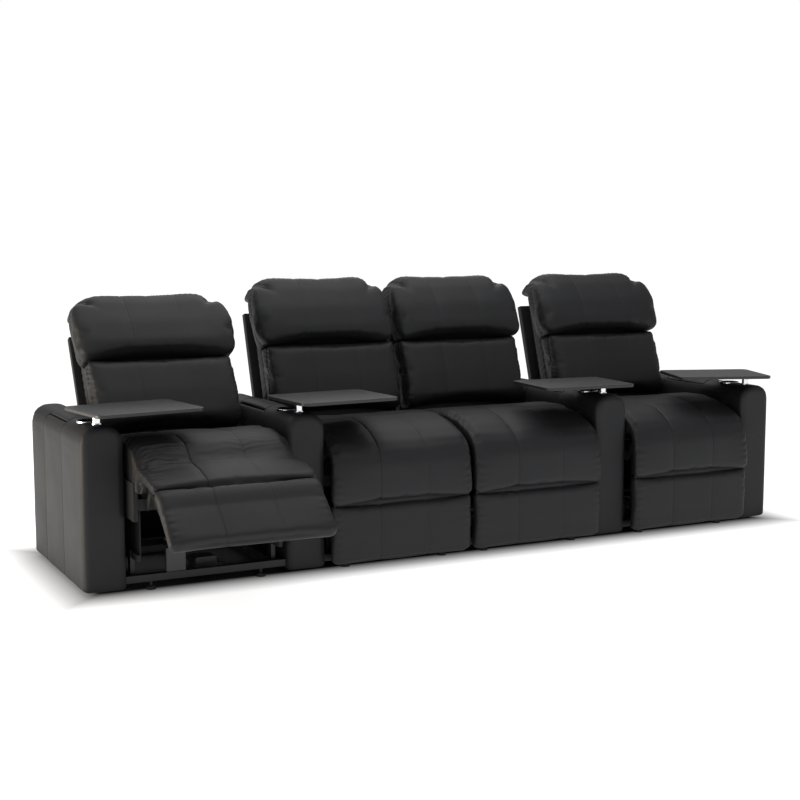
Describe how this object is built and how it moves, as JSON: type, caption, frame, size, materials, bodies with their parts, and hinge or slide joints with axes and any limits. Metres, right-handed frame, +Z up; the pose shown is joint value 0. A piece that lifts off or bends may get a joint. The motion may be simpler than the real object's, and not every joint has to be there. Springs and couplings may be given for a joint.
{
  "type": "cinema recliner seat row",
  "caption": "Joined row of black leather power recliners with cup-holder arms, storage lids, swivel trays and a fold-out footrest under each seat.",
  "frame": {"origin": "on the floor under the middle of the row's overall box", "axes": "+X along the row to the sitter's left, as seen from the front to the right; +Y from the front to the back; +Z up"},
  "size_m": [3.0304, 1.3474, 1.0822],
  "materials": {
    "leather": "smooth black leather with a soft sheen",
    "black_steel": "satin black paint",
    "timber": "raw ply and softwood, hidden by the upholstery",
    "tray_board": "dark grey-brown matt laminate",
    "switch_plastic": "fine matt grain",
    "chrome": "polished",
    "motor_casing": "moulded dark casing"
  },
  "bodies": {
    "row": {"base_frames": "black_steel", "drive_units": "motor_casing", "cup_holders": "chrome", "tray_posts": "chrome", "arm_a": "leather", "arm_b": "leather", "arm_c": "leather", "arm_d": "leather"},
    "carriage_1": {"seat_box_1": "timber", "seat_cushion_1": "leather"},
    "front_pad_1": {"front_pad_1": "leather", "front_pad_arms_1": "black_steel"},
    "footrest_1": {"footrest_1": "leather"},
    "links_1": {"footrest_links_1": "black_steel"},
    "back_1": {"back_frame_1": "timber", "back_panel_1": "leather", "lumbar_pad_1": "leather", "head_pillow_1": "leather"},
    "carriage_2": {"seat_box_2": "timber", "seat_cushion_2": "leather"},
    "front_pad_2": {"front_pad_2": "leather", "front_pad_arms_2": "black_steel"},
    "footrest_2": {"footrest_2": "leather"},
    "links_2": {"footrest_links_2": "black_steel"},
    "back_2": {"back_frame_2": "timber", "back_panel_2": "leather", "lumbar_pad_2": "leather", "head_pillow_2": "leather"},
    "carriage_3": {"seat_box_3": "timber", "seat_cushion_3": "leather"},
    "front_pad_3": {"front_pad_3": "leather", "front_pad_arms_3": "black_steel"},
    "footrest_3": {"footrest_3": "leather"},
    "links_3": {"footrest_links_3": "black_steel"},
    "back_3": {"back_frame_3": "timber", "back_panel_3": "leather", "lumbar_pad_3": "leather", "head_pillow_3": "leather"},
    "carriage_4": {"seat_box_4": "timber", "seat_cushion_4": "leather"},
    "front_pad_4": {"front_pad_4": "leather", "front_pad_arms_4": "black_steel"},
    "footrest_4": {"footrest_4": "leather"},
    "links_4": {"footrest_links_4": "black_steel"},
    "back_4": {"back_frame_4": "timber", "back_panel_4": "leather", "lumbar_pad_4": "leather", "head_pillow_4": "leather"},
    "lid_a": {"arm_lid_a": "leather"},
    "tray_a": {"tray_a": "tray_board"},
    "switch_a": {"recline_switch_a": "switch_plastic"},
    "lid_b": {"arm_lid_b": "leather"},
    "tray_b": {"tray_b": "tray_board"},
    "switch_b": {"recline_switch_b": "switch_plastic"},
    "lid_c": {"arm_lid_c": "leather"},
    "tray_c": {"tray_c": "tray_board"},
    "switch_c": {"recline_switch_c": "switch_plastic"},
    "lid_d": {"arm_lid_d": "leather"},
    "tray_d": {"tray_d": "tray_board"},
    "switch_d": {"recline_switch_d": "switch_plastic"}
  },
  "joints": [
    {"name": "seat_1_slide", "type": "slide", "parent": "row", "child": "carriage_1", "axis": [0, -1, 0], "range_m": [-0.14, 0.03]},
    {"name": "front_pad_1_fold", "type": "hinge", "parent": "carriage_1", "child": "front_pad_1", "pos_m": [-1.06243, -0.33315, 0.402], "axis": [-1, 0, 0], "range_deg": [-73.02, 15.66]},
    {"name": "footrest_1_fold", "type": "hinge", "parent": "front_pad_1", "child": "footrest_1", "pos_m": [-1.06243, -0.485, 0.37021], "axis": [1, 0, 0], "range_deg": [-24.62, 5.29]},
    {"name": "links_1_swing", "type": "hinge", "parent": "carriage_1", "child": "links_1", "pos_m": [-1.06243, -0.32516, 0.382], "axis": [-1, 0, 0], "range_deg": [-64.26, 13.78]},
    {"name": "back_1_recline", "type": "hinge", "parent": "carriage_1", "child": "back_1", "pos_m": [-1.06243, 0.15685, 0.42], "axis": [-1, 0, 0], "range_deg": [-10, 25]},
    {"name": "seat_2_slide", "type": "slide", "parent": "row", "child": "carriage_2", "axis": [0, -1, 0], "range_m": [0, 0.17]},
    {"name": "front_pad_2_fold", "type": "hinge", "parent": "carriage_2", "child": "front_pad_2", "pos_m": [-0.31243, -0.19315, 0.402], "axis": [-1, 0, 0], "range_deg": [0, 88.66]},
    {"name": "footrest_2_fold", "type": "hinge", "parent": "front_pad_2", "child": "footrest_2", "pos_m": [-0.31243, -0.20716, 0.2475], "axis": [1, 0, 0], "range_deg": [0, 29.89]},
    {"name": "links_2_swing", "type": "hinge", "parent": "carriage_2", "child": "links_2", "pos_m": [-0.31243, -0.18515, 0.382], "axis": [-1, 0, 0], "range_deg": [0, 78.02]},
    {"name": "back_2_recline", "type": "hinge", "parent": "carriage_2", "child": "back_2", "pos_m": [-0.31243, 0.29685, 0.42], "axis": [-1, 0, 0], "range_deg": [0, 35]},
    {"name": "seat_3_slide", "type": "slide", "parent": "row", "child": "carriage_3", "axis": [0, -1, 0], "range_m": [0, 0.17]},
    {"name": "front_pad_3_fold", "type": "hinge", "parent": "carriage_3", "child": "front_pad_3", "pos_m": [0.28757, -0.19315, 0.402], "axis": [-1, 0, 0], "range_deg": [0, 88.66]},
    {"name": "footrest_3_fold", "type": "hinge", "parent": "front_pad_3", "child": "footrest_3", "pos_m": [0.28757, -0.20716, 0.2475], "axis": [1, 0, 0], "range_deg": [0, 29.89]},
    {"name": "links_3_swing", "type": "hinge", "parent": "carriage_3", "child": "links_3", "pos_m": [0.28757, -0.18515, 0.382], "axis": [-1, 0, 0], "range_deg": [0, 78.02]},
    {"name": "back_3_recline", "type": "hinge", "parent": "carriage_3", "child": "back_3", "pos_m": [0.28757, 0.29685, 0.42], "axis": [-1, 0, 0], "range_deg": [0, 35]},
    {"name": "seat_4_slide", "type": "slide", "parent": "row", "child": "carriage_4", "axis": [0, -1, 0], "range_m": [0, 0.17]},
    {"name": "front_pad_4_fold", "type": "hinge", "parent": "carriage_4", "child": "front_pad_4", "pos_m": [1.03757, -0.19315, 0.402], "axis": [-1, 0, 0], "range_deg": [0, 88.66]},
    {"name": "footrest_4_fold", "type": "hinge", "parent": "front_pad_4", "child": "footrest_4", "pos_m": [1.03757, -0.20716, 0.2475], "axis": [1, 0, 0], "range_deg": [0, 29.89]},
    {"name": "links_4_swing", "type": "hinge", "parent": "carriage_4", "child": "links_4", "pos_m": [1.03757, -0.18515, 0.382], "axis": [-1, 0, 0], "range_deg": [0, 78.02]},
    {"name": "back_4_recline", "type": "hinge", "parent": "carriage_4", "child": "back_4", "pos_m": [1.03757, 0.29685, 0.42], "axis": [-1, 0, 0], "range_deg": [0, 35]},
    {"name": "lid_a_open", "type": "hinge", "parent": "row", "child": "lid_a", "pos_m": [-1.48143, 0.20785, 0.578], "axis": [0, -1, 0], "range_deg": [0, 100]},
    {"name": "tray_a_swivel", "type": "hinge", "parent": "row", "child": "tray_a", "pos_m": [-1.43743, -0.13315, 0.628], "axis": [0, 0, 1], "continuous": true},
    {"name": "switch_a_rock", "type": "hinge", "parent": "row", "child": "switch_a", "pos_m": [-1.36543, -0.08815, 0.504], "axis": [0, 0, 1], "range_deg": [-6, 6], "stiffness_Nm_per_rad": 0.3},
    {"name": "lid_b_open", "type": "hinge", "parent": "row", "child": "lid_b", "pos_m": [-0.73143, 0.20785, 0.578], "axis": [0, -1, 0], "range_deg": [0, 100]},
    {"name": "tray_b_swivel", "type": "hinge", "parent": "row", "child": "tray_b", "pos_m": [-0.68743, -0.13315, 0.628], "axis": [0, 0, 1], "continuous": true},
    {"name": "switch_b_rock", "type": "hinge", "parent": "row", "child": "switch_b", "pos_m": [-0.61543, -0.08815, 0.504], "axis": [0, 0, 1], "range_deg": [-6, 6], "stiffness_Nm_per_rad": 0.3},
    {"name": "lid_c_open", "type": "hinge", "parent": "row", "child": "lid_c", "pos_m": [0.70657, 0.20785, 0.578], "axis": [0, 1, 0], "range_deg": [0, 100]},
    {"name": "tray_c_swivel", "type": "hinge", "parent": "row", "child": "tray_c", "pos_m": [0.66257, -0.13315, 0.628], "axis": [0, 0, 1], "continuous": true},
    {"name": "switch_c_rock", "type": "hinge", "parent": "row", "child": "switch_c", "pos_m": [0.59057, -0.08815, 0.504], "axis": [0, 0, 1], "range_deg": [-6, 6], "stiffness_Nm_per_rad": 0.3},
    {"name": "lid_d_open", "type": "hinge", "parent": "row", "child": "lid_d", "pos_m": [1.45657, 0.20785, 0.578], "axis": [0, 1, 0], "range_deg": [0, 100]},
    {"name": "tray_d_swivel", "type": "hinge", "parent": "row", "child": "tray_d", "pos_m": [1.41257, -0.13315, 0.628], "axis": [0, 0, 1], "continuous": true},
    {"name": "switch_d_rock", "type": "hinge", "parent": "row", "child": "switch_d", "pos_m": [1.34057, -0.08815, 0.504], "axis": [0, 0, 1], "range_deg": [-6, 6], "stiffness_Nm_per_rad": 0.3}
  ],
  "couplings": [
    {"joint": "front_pad_1_fold", "follows": "seat_1_slide", "rad_per_m": 9.1004},
    {"joint": "footrest_1_fold", "follows": "seat_1_slide", "rad_per_m": 3.0666},
    {"joint": "links_1_swing", "follows": "seat_1_slide", "rad_per_m": 8.008},
    {"joint": "front_pad_2_fold", "follows": "seat_2_slide", "rad_per_m": 9.1004},
    {"joint": "footrest_2_fold", "follows": "seat_2_slide", "rad_per_m": 3.0666},
    {"joint": "links_2_swing", "follows": "seat_2_slide", "rad_per_m": 8.008},
    {"joint": "front_pad_3_fold", "follows": "seat_3_slide", "rad_per_m": 9.1004},
    {"joint": "footrest_3_fold", "follows": "seat_3_slide", "rad_per_m": 3.0666},
    {"joint": "links_3_swing", "follows": "seat_3_slide", "rad_per_m": 8.008},
    {"joint": "front_pad_4_fold", "follows": "seat_4_slide", "rad_per_m": 9.1004},
    {"joint": "footrest_4_fold", "follows": "seat_4_slide", "rad_per_m": 3.0666},
    {"joint": "links_4_swing", "follows": "seat_4_slide", "rad_per_m": 8.008}
  ]
}
